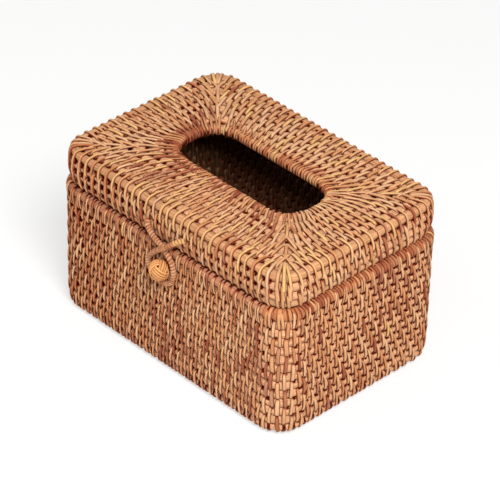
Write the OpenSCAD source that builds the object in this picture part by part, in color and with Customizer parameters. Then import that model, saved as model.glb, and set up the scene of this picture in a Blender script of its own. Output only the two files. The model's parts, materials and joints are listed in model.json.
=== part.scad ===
// Tissue box cover: a rounded box of coiled rattan rows, with a hinged lid and a ball and loop closure.
// Millimetres, +Z up. The origin is the middle of the floor's underside, and the closure faces -Y.
// Each row is one round cane with its binding, closed into a hoop, so its thickness is that of both.

/* [Box] */
// Length of the box over its wall rows
box_l = 220; // [190:1:250]
// Width of the box over its wall rows
box_w = 151; // [135:1:175]
// Rows in the wall, between the heel row and the rim row
wall_rows = 12; // [8:1:16]
// Corner radius of the wall, along the middle of a row
wall_corner_r = 17.4; // [14:0.2:24]

/* [Rows] */
// Thickness of a bound row
row_d = 6.8; // [6:0.1:7.2]
// Gap between neighbouring rows
row_gap = 0.2; // [0.1:0.05:0.5]
// Thickness of the rim row round the mouth
rim_d = 7.8; // [7:0.1:9]
// How far the rim row stands out from the wall rows
rim_out = 0.4; // [0:0.1:1.5]
// How deep the floor rows are flat where they rest
rest_cut = 0.4; // [0.2:0.1:0.8]
// How far the heel row stands above the floor rows
heel_rise = 2.4; // [1:0.1:3.5]
// How far the heel row sits in from the wall rows
heel_in = 1; // [0.4:0.1:2]

/* [Lid] */
// Rows in the lid's wall
lid_rows = 3; // [2:1:6]
// Gap between the rim row and the lid's lowest row
seam_gap = 0.5; // [0.4:0.05:1]
// How far the lid's lowest row sits in from the rim row
seat_in = 3; // [2:0.1:4]
// How far the other lid rows sit in from the wall rows
lid_in = 1.1; // [0.6:0.1:2.5]
// How far the edge row sits in from the wall rows
edge_in = 1.8; // [1:0.1:3]
// Corner radius of the lid, along the middle of its rows
lid_corner_r = 16.2; // [13:0.2:22]

/* [Tissue slot] */
// Clear length of the slot
slot_l = 114; // [96:1:125]
// Clear width of the slot
slot_w = 45; // [40:1:52]
// Corner radius of the slot, along the middle of its rim
slot_corner_r = 21; // [14:0.5:24]
// How far the slot's middle lies to the right of the lid's
slot_right = 1.1; // [-2:0.1:2]
// How far the slot's middle lies behind the lid's
slot_behind = 1; // [-2:0.1:2]
// How much tighter the middle rows of the top turn at the mitres
mitre_dip = 9; // [0:0.5:10]

/* [Closure] */
// Diameter of the woven ball
ball_d = 14; // [11:0.2:14.4]
// How far the ball's middle lies to the right of the box's
ball_right = 1.5; // [0:0.1:3]
// Gap between the ball and the wall rows that it rests on
ball_gap = 0.6; // [0.3:0.1:1]
// Thickness of the ball's stem
stem_d = 3; // [2:0.1:3.6]
// Diameter of the knots inside, on the stem and on the loop's tails
knot_d = 4.6; // [4:0.1:6]
// Thickness of the loop's wrapped cord
cord_d = 3.4; // [2.6:0.1:3.5]
// Thickness of the loop's tails, where they go through the lid's wall
tail_d = 2; // [1.2:0.1:2.6]

/* [Hinges] */
// Distance between the middles of the two hinges
hinge_spacing = 110; // [60:1:140]
// How far the hinge axis lies behind the middle of the rim row
hinge_out = 6; // [5.8:0.1:8]
// How far the hinge axis lies above the middle of the rim row
hinge_rise = 4.1; // [3.9:0.1:4.6]
// Thickness of the hinge rods
rod_d = 3; // [2:0.1:3.2]
// Wall of the eyes round a rod
eye_wall = 1.4; // [1:0.1:1.5]
// Length of each of a hinge's three eyes
eye_l = 5; // [3:0.1:8]
// Thickness of the bands that hug the rows
band_t = 1.2; // [0.8:0.1:1.3]

/* [Hidden] */
$fn = 48;
overrun = 1;          // how far a cut runs past what it cuts
fit_gap = 0.05;       // between a rod and its eyes, all round
hug_gap = 0.15;       // between a band and the row that it hugs
hole_gap = 0.15;      // between a stem or a tail and the notches in the rows
eye_gap = 0.4;        // between neighbouring eyes, end to end
turn_gap = 0.35;      // between an eye and the other half's band
root_gap = 0.45;      // between a cord's end and the rows beside it
grain = 0.002;        // sizes along a hoop are whole steps of this, so that its pieces meet exactly
least_run = 1;        // half the shortest straight between two of a hoop's bends
rod_end = 1.2;        // how far a rod stands out of its outer eyes

row_r = row_d / 2;
rim_r = rim_d / 2;
pitch = row_d + row_gap;

// Half-sizes along the middle of the wall rows
wall_x = box_l / 2 - row_r;
wall_y = box_w / 2 - row_r;

// Height between two touching rows, when the upper one is set in or out by a known step
function climb(reach, step) = sqrt(reach * reach - step * step);

floor_z = row_r - rest_cut;
heel_z = floor_z + heel_rise;
first_z = heel_z + climb(pitch, heel_in);
top_z = first_z + (wall_rows - 1) * pitch;
rim_z = top_z + climb(row_r + rim_r + row_gap, rim_out);
rim_y = wall_y + rim_out;

// The lid's wall rows, from the seam up, and its edge row
seat_step = seat_in - rim_out;      // how far the lowest lid row sits in from the wall rows
lid_z1 = rim_z + climb(row_r + rim_r + seam_gap, seat_in);
lid_z2 = lid_z1 + climb(pitch, seat_step - lid_in);
function lid_z(i) = i == 1 ? lid_z1 : lid_z2 + (i - 2) * pitch;
function lid_inset(i) = i == 1 ? seat_step : lid_in;
edge_z = lid_z(lid_rows) + climb(pitch, edge_in - lid_inset(lid_rows));

// The floor's rows, from the rod in the middle out to the heel row
floor_out = climb(pitch, heel_rise);
floor_y = wall_y - heel_in - floor_out;
floor_rows = floor(floor_y / pitch);
floor_pitch = floor_y / floor_rows;
rod_half = wall_x - wall_y;         // half the floor rod's length, to the middle of the first bend

// The top's rows, from the edge row in to the slot's rim
edge_x = wall_x - edge_in;
edge_y = wall_y - edge_in;
slot_x = slot_l / 2 + row_r;
slot_y = slot_w / 2 + row_r;
slot_shift = max(abs(slot_right), abs(slot_behind));
top_steps = floor((min(edge_x - slot_x, edge_y - slot_y) - slot_shift) / pitch);
top_rows = top_steps - 1;
half_turn = 180;                    // the mitre dip is greatest halfway between edge and slot

// A thing of radius r that rests in the groove between two rows lies this far from their middles
function groove_out(r, gap) = climb(row_r + r + gap, pitch / 2);

ball_r = ball_d / 2;
stem_r = stem_d / 2;
knot_r = knot_d / 2;
cord_r = cord_d / 2;
tail_r = tail_d / 2;
stem_z = top_z - pitch / 2;         // the groove between the wall's two top rows
ball_y = -wall_y - groove_out(ball_r, ball_gap);
stem_knot_y = -wall_y + groove_out(knot_r, row_gap);
tail_z = lid_z2 + (lid_rows < 3 ? climb(pitch, edge_in - lid_in) : pitch) / 2;
tail_knot_y = -wall_y + lid_in + groove_out(knot_r, row_gap);
root_y = -wall_y + lid_in - groove_out(cord_r, root_gap);

hinge_y = rim_y + hinge_out;
hinge_z = rim_z + hinge_rise;
rod_r = rod_d / 2;
eye_r = rod_r + fit_gap + eye_wall;
eye_step = eye_l + eye_gap;
band_r = row_r + hug_gap + band_t;
rim_band_r = rim_r + hug_gap + band_t;
seat_y = wall_y - seat_step;
rim_band_low = -60;                 // where the base's band ends, under the rim row
rim_band_high = 40;                 // where it ends, past its eyes
lid_band_low = -30;                 // where the lid's band ends, under its lowest row
lid_band_high = 42;                 // where it ends, on the back of that row

// The loop's route: from its left root down past the ball's right, round under it, and up to the right root.
// Each point is its place along X, in front of the wall rows' middles, and above the ball's middle.
loop_places = [
    [-16.5, 3.2, 28.6], [-16.2, 4.8, 26.2], [-14, 5, 22.2], [-10, 5.1, 19], [-5, 5.3, 16.6],
    [0.2, 5.5, 15], [4.5, 6.3, 12.7], [8.3, 6.7, 9.7], [10.5, 6.5, 5.2], [11, 6.3, -0.8],
    [9.5, 6.1, -6.8], [5.5, 5.9, -10.8], [-0.5, 5.9, -12.3], [-6.5, 5.9, -10.8], [-11.5, 6.1, -6.8],
    [-13.5, 6.5, -0.8], [-10, 7.3, 5.2], [-3, 8.8, 12.7], [3.5, 9.5, 17.7], [8.5, 8.9, 22],
    [12.5, 7.1, 25.5], [15.8, 5.1, 27.8], [18.6, 3.2, 28.6]
];
loop_route = [for (p = loop_places) [p[0], -wall_y - p[1], stem_z + p[2]]];
route_steps = 3;                    // rings between two of the route's points
cord_sides = 8;
root_left = loop_route[0];
root_right = loop_route[len(loop_route) - 1];

bound_cane = [0.78, 0.55, 0.34];
rim_cane = [0.74, 0.49, 0.3];
dark_cane = [0.62, 0.36, 0.22];
cord_cane = [0.8, 0.56, 0.3];

// A quarter bend of cane in the first quadrant, round the Z axis
module bend(r, cane_r) {
    rotate_extrude(angle = 90) translate([r, 0]) circle(cane_r);
}

// A straight cane along X, centred
module straight(l, cane_r) {
    rotate([0, 90, 0]) cylinder(h = l, r = cane_r, center = true);
}

function whole(size) = round(size / grain) * grain;

// A cane closed into a rounded rectangle, with its middle line at half-sizes x and y
module hoop(x, y, r, cane_r) {
    half = [whole(x), whole(y)];
    bend_r = min(whole(r), half[0] - least_run, half[1] - least_run);
    run = half - [bend_r, bend_r];
    for (side = [0, 1]) mirror([side, 0, 0])
        for (end = [0, 1]) mirror([0, end, 0])
            translate([run[0], run[1], 0]) bend(bend_r, cane_r);
    for (side = [-1, 1]) {
        translate([0, side * half[1], 0]) straight(2 * run[0], cane_r);
        translate([side * half[0], 0, 0]) rotate(90) straight(2 * run[1], cane_r);
    }
}

// A hoop that follows the wall at a height, set in from the wall rows
module wall_hoop(inset, z, corner_r, cane_r) {
    translate([0, 0, z]) hoop(wall_x - inset, wall_y - inset, corner_r, cane_r);
}

// A rod along Y for a hole through the wall
module front_rod(x, y, z, r, l) {
    translate([x, y, z]) rotate([90, 0, 0]) cylinder(h = l, r = r, center = true);
}

// Takes off what reaches below the floor's resting plane
module rest_flat() {
    difference() {
        children();
        translate([0, 0, -row_d / 2]) cube([box_l, box_w, row_d], center = true);
    }
}

module floor_rod() {
    color(bound_cane) rest_flat() translate([0, 0, floor_z]) {
        straight(2 * rod_half, row_r);
        for (side = [-1, 1]) translate([side * rod_half, 0, 0]) sphere(row_r);
    }
}

module floor_row(i) {
    color(bound_cane) rest_flat() translate([0, 0, floor_z])
        hoop(rod_half + i * floor_pitch, i * floor_pitch, wall_corner_r - heel_in, row_r);
}

module heel_row() {
    color(bound_cane) wall_hoop(heel_in, heel_z, wall_corner_r - heel_in, row_r);
}

module wall_row(i) {
    color(bound_cane) difference() {
        wall_hoop(0, first_z + (i - 1) * pitch, wall_corner_r, row_r);
        if (i >= wall_rows - 1)
            front_rod(ball_right, -wall_y, stem_z, stem_r + hole_gap, row_d + 2 * overrun);
    }
}

module rim_row() {
    color(rim_cane) wall_hoop(-rim_out, rim_z, wall_corner_r + rim_out, rim_r);
}

module ball_stem() {
    stem_l = stem_knot_y - ball_y;
    color(dark_cane) {
        front_rod(ball_right, ball_y + stem_l / 2, stem_z, stem_r, stem_l);
        translate([ball_right, stem_knot_y, stem_z]) sphere(knot_r);
    }
}

module closure_ball() {
    color(cord_cane) difference() {
        translate([ball_right, ball_y, stem_z]) sphere(ball_r);
        front_rod(ball_right, ball_y + ball_r / 2, stem_z, stem_r + fit_gap, ball_r + fit_gap);
    }
}

module lid_row(i) {
    color(bound_cane) difference() {
        wall_hoop(lid_inset(i), lid_z(i), lid_corner_r, row_r);
        if (i == 2 || i == 3)
            for (x = [root_left[0], root_right[0]])
                front_rod(x, -wall_y + lid_in, tail_z, tail_r + hole_gap, row_d + 2 * overrun);
    }
}

module edge_row() {
    color(rim_cane) wall_hoop(edge_in, edge_z, lid_corner_r, row_r);
}

// A row of the top, some steps in from the edge row: its middle drifts to the slot's
module top_hoop(step) {
    share = step / top_steps;
    corner_r = lid_corner_r + (slot_corner_r - lid_corner_r) * share - mitre_dip * sin(half_turn * share);
    translate([slot_right * share, slot_behind * share, edge_z])
        hoop(edge_x + (slot_x - edge_x) * share, edge_y + (slot_y - edge_y) * share, corner_r, row_r);
}

module top_row(i) {
    color(bound_cane) top_hoop(i);
}

module slot_rim() {
    color(dark_cane) top_hoop(top_steps);
}

module loop_tails() {
    tail_out_y = root_y + cord_r + row_gap;
    tail_l = tail_knot_y - tail_out_y;
    color(cord_cane) for (x = [root_left[0], root_right[0]]) {
        front_rod(x, tail_out_y + tail_l / 2, tail_z, tail_r, tail_l);
        translate([x, tail_knot_y, tail_z]) sphere(knot_r);
    }
}

// Extrudes an outline drawn in Y and Z along X, centred
module across(l) {
    rotate([90, 0, 90]) linear_extrude(l, center = true) children();
}

// A sector of a ring, between two angles from +Y towards +Z
module ring_sector(in_r, out_r, low, high) {
    far = 2 * out_r;
    middle = (low + high) / 2;
    intersection() {
        difference() {
            circle(out_r);
            circle(in_r);
        }
        polygon([[0, 0], far * [cos(low), sin(low)], far * [cos(middle), sin(middle)],
            far * [cos(high), sin(high)]]);
    }
}

// A straight web between two points
module web(from, to, t) {
    reach = to - from;
    translate(from) rotate(atan2(reach[1], reach[0])) translate([0, -t / 2]) square([norm(reach), t]);
}

// The base's half of a hinge: a band on the rim row, with an eye at each end
module hinge_base_tie(x) {
    axis = [hinge_y, hinge_z];
    toward = [rim_y, rim_z] - axis;
    color(dark_cane) translate([x, 0, 0]) difference() {
        union() {
            across(2 * eye_step + eye_l) translate([rim_y, rim_z])
                ring_sector(rim_r + hug_gap, rim_band_r, rim_band_low, rim_band_high);
            for (side = [-1, 1]) translate([side * eye_step, 0, 0]) across(eye_l) difference() {
                union() {
                    translate(axis) circle(eye_r);
                    web(axis, axis + toward * (1 - (rim_r + rim_band_r) / 2 / norm(toward)), 2 * band_t);
                }
                translate([rim_y, rim_z]) circle(rim_r + hug_gap);
            }
        }
        across(2 * eye_step + eye_l + overrun) translate(axis) circle(rod_r + fit_gap);
        across(eye_l + 2 * eye_gap) translate(axis) circle(eye_r + turn_gap);
    }
}

// The lid's half of a hinge: a band on the lid's lowest row, with one eye between the base's two
module hinge_lid_tie(x) {
    axis = [hinge_y, hinge_z];
    toward = [seat_y, lid_z1] - axis;
    color(dark_cane) translate([x, 0, 0]) difference() {
        union() {
            across(2 * eye_step + eye_l) translate([seat_y, lid_z1])
                ring_sector(row_r + hug_gap, band_r, lid_band_low, lid_band_high);
            across(eye_l) {
                translate(axis) circle(eye_r);
                web(axis, axis + toward * (1 - (row_r + band_r) / 2 / norm(toward)), 2 * band_t);
            }
        }
        across(eye_l + overrun) translate(axis) circle(rod_r + fit_gap);
        for (side = [-1, 1]) translate([side * eye_step, 0, 0])
            across(eye_l + 2 * eye_gap - fit_gap) translate(axis) circle(eye_r + turn_gap);
    }
}

module hinge_rod(x) {
    color(rim_cane) translate([x, hinge_y, hinge_z]) straight(2 * (eye_step + rod_end) + eye_l, rod_r);
}

// A smooth curve through a route's points
function blend(a, b, c, d, t) = (2 * b + (c - a) * t + (2 * a - 5 * b + 4 * c - d) * t * t
    + (3 * b - 3 * c + d - a) * t * t * t) / 2;
function curve(points, steps) = let (last = len(points) - 1) [
    for (i = [0:last - 1], k = [0:steps - 1])
        blend(i == 0 ? 2 * points[0] - points[1] : points[i - 1], points[i], points[i + 1],
            i + 2 > last ? 2 * points[last] - points[last - 1] : points[i + 2], k / steps),
    points[last]
];
function unit(v) = v / norm(v);

// A tube along points that never run along Y
module tube(points, r, sides) {
    last = len(points) - 1;
    rings = [
        for (i = [0:last])
            let (along = unit(points[min(i + 1, last)] - points[max(i - 1, 0)]),
                across = unit(cross(along, [0, 1, 0])),
                out = cross(along, across))
            for (k = [0:sides - 1])
                points[i] + r * (cos(360 * k / sides) * across + sin(360 * k / sides) * out)
    ];
    start = len(rings);
    end = start + 1;
    faces = concat(
        [for (i = [0:last - 1], k = [0:sides - 1])
            let (a = i * sides + k, b = i * sides + (k + 1) % sides) [a, a + sides, b]],
        [for (i = [0:last - 1], k = [0:sides - 1])
            let (a = i * sides + k, b = i * sides + (k + 1) % sides) [b, a + sides, b + sides]],
        [for (k = [0:sides - 1]) [start, k, (k + 1) % sides]],
        [for (k = [0:sides - 1]) [end, last * sides + (k + 1) % sides, last * sides + k]]
    );
    polyhedron(concat(rings, [points[0], points[last]]), faces);
}

module closure_loop() {
    color(cord_cane) tube(curve(loop_route, route_steps), cord_r, cord_sides);
}

floor_rod();
for (i = [1:floor_rows])
    floor_row(i);
heel_row();
for (i = [1:wall_rows])
    wall_row(i);
rim_row();
closure_ball();
ball_stem();
hinge_base_tie(-hinge_spacing / 2);  // left_hinge_base_tie
hinge_base_tie(hinge_spacing / 2);  // right_hinge_base_tie
hinge_rod(-hinge_spacing / 2);  // left_hinge_rod
hinge_rod(hinge_spacing / 2);  // right_hinge_rod
for (i = [1:lid_rows])
    lid_row(i);
edge_row();
for (i = [1:top_rows])
    top_row(i);
slot_rim();
hinge_lid_tie(-hinge_spacing / 2);  // left_hinge_lid_tie
hinge_lid_tie(hinge_spacing / 2);  // right_hinge_lid_tie
loop_tails();
closure_loop();
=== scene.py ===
import bpy
import itertools
import json
import math
import numpy as np
from mathutils import Matrix, Vector

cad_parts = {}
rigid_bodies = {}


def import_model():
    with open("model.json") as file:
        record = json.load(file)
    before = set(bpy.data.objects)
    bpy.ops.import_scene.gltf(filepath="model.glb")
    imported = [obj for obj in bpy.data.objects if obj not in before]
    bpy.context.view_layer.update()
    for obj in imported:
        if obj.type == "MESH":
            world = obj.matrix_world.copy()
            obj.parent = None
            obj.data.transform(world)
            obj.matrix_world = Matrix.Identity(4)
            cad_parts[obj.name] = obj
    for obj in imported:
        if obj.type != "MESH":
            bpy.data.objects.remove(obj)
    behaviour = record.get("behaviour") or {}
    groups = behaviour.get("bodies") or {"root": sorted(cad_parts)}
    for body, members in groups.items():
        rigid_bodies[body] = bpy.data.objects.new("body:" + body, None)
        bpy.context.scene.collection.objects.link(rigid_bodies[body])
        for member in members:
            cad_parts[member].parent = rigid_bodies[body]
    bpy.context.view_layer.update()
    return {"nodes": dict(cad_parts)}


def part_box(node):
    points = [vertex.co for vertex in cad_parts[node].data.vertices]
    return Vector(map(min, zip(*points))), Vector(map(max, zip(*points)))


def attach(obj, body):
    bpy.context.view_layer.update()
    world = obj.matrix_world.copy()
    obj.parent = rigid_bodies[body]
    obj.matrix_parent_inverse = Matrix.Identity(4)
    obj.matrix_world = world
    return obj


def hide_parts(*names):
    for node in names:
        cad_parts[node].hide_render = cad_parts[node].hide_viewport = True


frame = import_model()
mm = 0.001
rng = np.random.default_rng(7)
print("frame loaded:", len(frame["nodes"]), "nodes")

# The camera stands where the photo was taken from, with a long lens. The shift is in shares of 500 pixels.
view = dict(azimuth=45.208, elevation=35.239, roll=1.648, target=(0, 0, 0.0594), distance=2.066,
            lens=219.765, sensor=36, shift=(2.887 / 500, 3.575 / 500))


def placeCamera(look):
    az, el, roll = (math.radians(look[key]) for key in ("azimuth", "elevation", "roll"))
    back = Vector((math.sin(az) * math.cos(el), -math.cos(az) * math.cos(el), math.sin(el)))
    right = Vector((math.cos(az), math.sin(az), 0))
    up = back.cross(right)
    side = right * math.cos(roll) + up * math.sin(roll)
    top = up * math.cos(roll) - right * math.sin(roll)
    lens = bpy.data.cameras.new("camera")
    lens.lens, lens.sensor_width = look["lens"], look["sensor"]
    lens.shift_x, lens.shift_y = look["shift"]
    camera = bpy.data.objects.new("camera", lens)
    spot = Vector(look["target"]) + back * look["distance"]
    camera.matrix_world = Matrix.Translation(spot) @ Matrix((side, top, back)).transposed().to_4x4()
    bpy.context.collection.objects.link(camera)
    bpy.context.scene.camera = camera


placeCamera(view)


# Shader sums as plain expressions
class Wire:
    def __init__(self, nodes, socket):
        self.nodes, self.socket = nodes, socket

    def __add__(self, other):
        return self.nodes.maths("ADD", self, other)

    def __radd__(self, other):
        return self.nodes.maths("ADD", other, self)

    def __sub__(self, other):
        return self.nodes.maths("SUBTRACT", self, other)

    def __rsub__(self, other):
        return self.nodes.maths("SUBTRACT", other, self)

    def __mul__(self, other):
        return self.nodes.maths("MULTIPLY", self, other)

    def __rmul__(self, other):
        return self.nodes.maths("MULTIPLY", other, self)


# A node tree; each node takes its type, its settings, and the values or links of its sockets
class Nodes:
    def __init__(self, tree):
        self.tree = tree
        self.tree.nodes.clear()

    def node(self, kind, settings, sockets):
        made = self.tree.nodes.new(kind)
        for key, value in settings.items():
            setattr(made, key, value)
        for key, value in sockets.items():
            self.feed(made, key, value)
        return made

    def feed(self, made, key, value):
        if isinstance(value, Wire):
            self.tree.links.new(value.socket, made.inputs[key])
        else:
            made.inputs[key].default_value = value

    def out(self, made, key=0):
        return Wire(self, made.outputs[key])

    def maths(self, operation, a, b):
        return self.out(self.node("ShaderNodeMath", {"operation": operation}, {0: a, 1: b}))

    def attribute(self, name, key):
        return self.out(self.node("ShaderNodeAttribute", {"attribute_name": name}, {}), key)

    def mix(self, blend, factor, a, b):
        made = self.node("ShaderNodeMix", {"data_type": "RGBA", "blend_type": blend}, {0: factor, 6: a, 7: b})
        return self.out(made, 2)

    def spread(self, value, low, high, toLow=0.0, toHigh=1.0):
        return self.out(self.node("ShaderNodeMapRange", {"interpolation_type": "SMOOTHSTEP"},
                                  {0: value, 1: low, 2: high, 3: toLow, 4: toHigh}))

    def noise(self, place, scale, detail=2.0):
        sized = self.node("ShaderNodeVectorMath", {"operation": "MULTIPLY"}, {0: place, 1: scale})
        return self.out(self.node("ShaderNodeTexNoise", {}, {"Vector": self.out(sized), "Scale": 1.0,
                                                             "Detail": detail}))

    def bump(self, height, strength, distance):
        return self.out(self.node("ShaderNodeBump", {}, {"Height": height, "Strength": strength,
                                                         "Distance": distance}))


# A material of one shader
class Finish(Nodes):
    def __init__(self, name, colour, roughness, shine):
        self.material = bpy.data.materials.new(name)
        self.material.use_nodes = True
        self.material.diffuse_color = colour
        super().__init__(self.material.node_tree)
        self.shader = self.node("ShaderNodeBsdfPrincipled", {}, {
            "Base Color": colour, "Roughness": roughness, "Specular IOR Level": shine})
        self.output = self.node("ShaderNodeOutputMaterial", {}, {"Surface": self.out(self.shader)})

    def use(self, key, value):
        self.feed(self.shader, key, value)


def linear(red, green, blue):
    steps = [(c / 255 / 12.92 if c <= 10 else ((c / 255 + 0.055) / 1.055) ** 2.4) for c in (red, green, blue)]
    return np.array(steps + [1.0])


# Tones of cane, as they look in plain light; edge and dark are the colours of painted shade,
# and rim is partly painted shade of the lid above the rim row
tones = dict(pale=linear(229, 183, 140), tan=linear(217, 156, 107), deep=linear(186, 110, 70),
             red=linear(150, 76, 54), gold=linear(233, 188, 122), pith=linear(221, 165, 124),
             rim=linear(190, 130, 98), edgeCane=linear(214, 156, 112), edge=linear(116, 42, 20),
             dark=linear(66, 10, 2))

# How streaky and cloudy a cane is, and how far painted shade darkens a strip's edges
# and the places where a strip dives
caneLook = dict(streaks=(0.3, 0.72), clouds=(0.25, 0.75), cloudLow=0.8, detail=3.0, roughMore=0.16,
                bumpDepth=0.00025, edgeFrom=0.9, edgeDark=0.0, paintedRedShade=(0.0, 0.6), paintedDarkShade=(0.4, 0.95),
                diveDark=1.0)
stripLook = dict(caneLook, rough=0.42, shine=0.06, grain=(2.6, 0.09, 7.0), blotch=(0.5, 0.16, 3.0),
                 streakLow=0.84, streakHigh=1.04, edgeFrom=0.42, edgeDark=0.95, bump=0.35)
roundLook = dict(caneLook, rough=0.62, shine=0.0, grain=(1.9, 0.1, 3.0), blotch=(0.4, 0.14, 2.0),
                 streakLow=0.62, streakHigh=1.08, bump=0.7)
cordLook = dict(stripLook, grain=(0.8, 1.2, 7.0), edgeFrom=0.9, edgeDark=0.0, diveDark=0.5)
wovenLook = dict(stripLook, edgeFrom=0.6, edgeDark=0.5, diveDark=0.7)


# The meshes carry a grain map in mm as fibre, each strip's colour as tint,
# and the strength of the painted shade as dive
def caneFinish(name, look):
    finish = Finish(name, tuple(tones["tan"]), look["rough"], look["shine"])
    fibre = finish.attribute("fibre", "Vector")
    dive = finish.attribute("dive", "Fac")
    across = finish.out(finish.node("ShaderNodeSeparateXYZ", {}, {0: fibre}))
    side = finish.spread(finish.maths("ABSOLUTE", across, 0), look["edgeFrom"], 1.0)
    grain = finish.noise(fibre, look["grain"], look["detail"])
    shade = finish.spread(grain, *look["streaks"], look["streakLow"], look["streakHigh"])
    shade = shade * finish.spread(finish.noise(fibre, look["blotch"]), *look["clouds"], look["cloudLow"])
    greys = finish.out(finish.node("ShaderNodeCombineColor", {}, {0: shade, 1: shade, 2: shade}))
    colour = finish.mix("MULTIPLY", 1.0, finish.attribute("tint", "Color"), greys)
    # Painted shade: the edge tone on a strip's sides, then the edge and the dark tone where a strip dives or
    # a cane lies in a groove or hole
    for strength, paintedShade in ((side * look["edgeDark"], "edge"),
                            (finish.spread(dive, *look["paintedRedShade"]) * look["diveDark"], "edge"),
                            (finish.spread(dive, *look["paintedDarkShade"]) * look["diveDark"], "dark")):
        colour = finish.mix("MIX", strength, colour, tuple(tones[paintedShade]))
    finish.use("Base Color", colour)
    finish.use("Roughness", look["rough"] + (1 - grain) * look["roughMore"])
    finish.use("Normal", finish.bump(grain, look["bump"], look["bumpDepth"]))
    return finish.material


stripMat = caneFinish("split cane", stripLook)
coreMat = caneFinish("round cane", roundLook)
cordMat = caneFinish("wrapped cord", cordLook)
ballMat = caneFinish("woven ball", wovenLook)
print("finishes made")


# A rounded rectangle that a cane follows, in mm, going round from the middle of its front towards +X.
# Its nine stretches are half the front, a corner, a side, and so on, back to half the front.
class Hoop:
    def __init__(self, middle, height, halfX, halfY, bend, cane):
        self.middle, self.height, self.cane, self.bend = np.array(middle), height, cane, bend
        self.runX, self.runY = halfX - bend, halfY - bend
        quarter = math.pi / 2 * bend
        spans = [self.runX, quarter, 2 * self.runY, quarter, 2 * self.runX, quarter, 2 * self.runY, quarter,
                 self.runX]
        self.starts = np.concatenate([[0], np.cumsum(spans)])
        self.length = self.starts[-1]

    # Places at distances along the hoop, and the way outward there
    def spot(self, along):
        along = np.mod(along, self.length)
        part = np.clip(np.searchsorted(self.starts, along, side="right") - 1, 0, 8)
        passed = along - self.starts[part]
        turns = np.array([0, 0, 1, 1, 2, 2, 3, 3, 4])[part]
        heading = turns * math.pi / 2 + np.where(part % 2 == 1, passed / max(self.bend, 1e-6), 0)
        out = np.stack([np.sin(heading), -np.cos(heading)], 1)
        signs = np.array([(0, -1), (1, -1), (1, -1), (1, 1), (1, 1), (-1, 1), (-1, 1), (-1, -1), (-1, -1)])
        inner = signs[part] * np.array([self.runX, self.runY])
        forward = np.stack([np.cos(turns * math.pi / 2), np.sin(turns * math.pi / 2)], 1)
        flat = inner + np.where((part % 2 == 0)[:, None], forward * passed[:, None], 0)
        return self.raised(flat + self.bend * out), out

    def nearest(self, points):
        flat = points[:, :2] - self.middle
        inner = np.clip(flat, [-self.runX, -self.runY], [self.runX, self.runY])
        away = flat - inner
        out = away / np.maximum(np.linalg.norm(away, axis=1), 1e-9)[:, None]
        return self.raised(inner + self.bend * out), out

    # The middles of the corners: front left, front right, back right, back left and front left again
    def mitres(self):
        half = math.pi / 4 * self.bend
        corners = self.starts[[7, 1, 3, 5, 7]] + half
        corners[0] -= self.length
        return corners

    def raised(self, flat):
        return np.column_stack([flat + self.middle, np.full(len(flat), self.height)])


# The rows' half-thickness and corner bends in mm; their places come from the nodes' boxes
rowBends = dict(floor=16.4, heel=16.4, wall=17.4, rim=17.8, lid=16.2, slot=21.0, dip=9.0)
halfRow, halfRim, coreShare = 3.4, 3.9, 0.9


def boxOf(node):
    return (np.array(corner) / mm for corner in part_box(node))


def hoopOf(node, bend, half=halfRow):
    low, high = boxOf(node)
    size = (high - low)[:2] / 2 - half
    return Hoop((low + high)[:2] / 2, high[2] - half, size[0], size[1], min(bend, size[0] - 1, size[1] - 1),
                half * coreShare)


floorRows = [f"floor_row_{i}" for i in range(1, 10)]
wallRows = [f"wall_row_{i}" for i in range(1, 13)]
sideRows = [f"lid_row_{i}" for i in range(1, 4)] + ["edge_row"]
topRows = [f"top_row_{i}" for i in range(1, 6)] + ["slot_rim"]
baseOrder = ["floor_rod"] + floorRows + ["heel_row"] + wallRows + ["rim_row"]
lidOrder = sideRows + topRows
hoops = {"rim_row": hoopOf("rim_row", rowBends["rim"], halfRim)}
for rows, key in ((floorRows, "floor"), (["heel_row"], "heel"), (wallRows, "wall"), (sideRows, "lid")):
    for row in rows:
        hoops[row] = hoopOf(row, rowBends[key])
for i, row in enumerate(topRows, 1):  # the corners are tightest halfway from the edge to the slot
    bend = rowBends["lid"] + (rowBends["slot"] - rowBends["lid"]) * i / len(topRows)
    hoops[row] = hoopOf(row, bend - rowBends["dip"] * math.sin(math.pi * i / len(topRows)))
low, high = boxOf("floor_rod")
hoops["floor_rod"] = Hoop((0, 0), high[2] - halfRow, high[0] - halfRow, 0, 0, halfRow * coreShare)
print("rows read:", len(hoops))


# A piece from arrays: points in mm, four-sided faces, values at the points, and the faces' cells on its map
def meshOf(name, points, faces, attributes, cells, material, body):
    mesh = bpy.data.meshes.new(name)
    mesh.vertices.add(len(points))
    mesh.vertices.foreach_set("co", (points * mm).astype(np.float32).ravel())
    mesh.loops.add(faces.size)
    mesh.loops.foreach_set("vertex_index", faces.astype(np.int32).ravel())
    mesh.polygons.add(len(faces))
    mesh.polygons.foreach_set("loop_start", np.arange(0, faces.size, 4, dtype=np.int32))
    mesh.polygons.foreach_set("use_smooth", np.ones(len(faces), bool))
    layer = mesh.uv_layers.new(name="OFBake")
    layer.uv.foreach_set("vector", cells.astype(np.float32).ravel())
    for key, (kind, field, values) in attributes.items():
        made = mesh.attributes.new(key, kind, "POINT")
        made.data.foreach_set(field, values.astype(np.float32).ravel())
    mesh.update(calc_edges=True)
    mesh.materials.append(material)
    piece = bpy.data.objects.new(name, mesh)
    bpy.context.collection.objects.link(piece)
    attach(piece, body)
    return piece


def valuesOf(fibre, tint, dive):
    return {"fibre": ("FLOAT_VECTOR", "vector", fibre), "tint": ("FLOAT_COLOR", "color", tint),
            "dive": ("FLOAT", "value", dive)}


def unit(vectors):
    return vectors / np.maximum(np.linalg.norm(vectors, axis=-1, keepdims=True), 1e-9)


mapGap = (0.04, 0.01)  # room round each tube on the map, as shares of its cell


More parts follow.
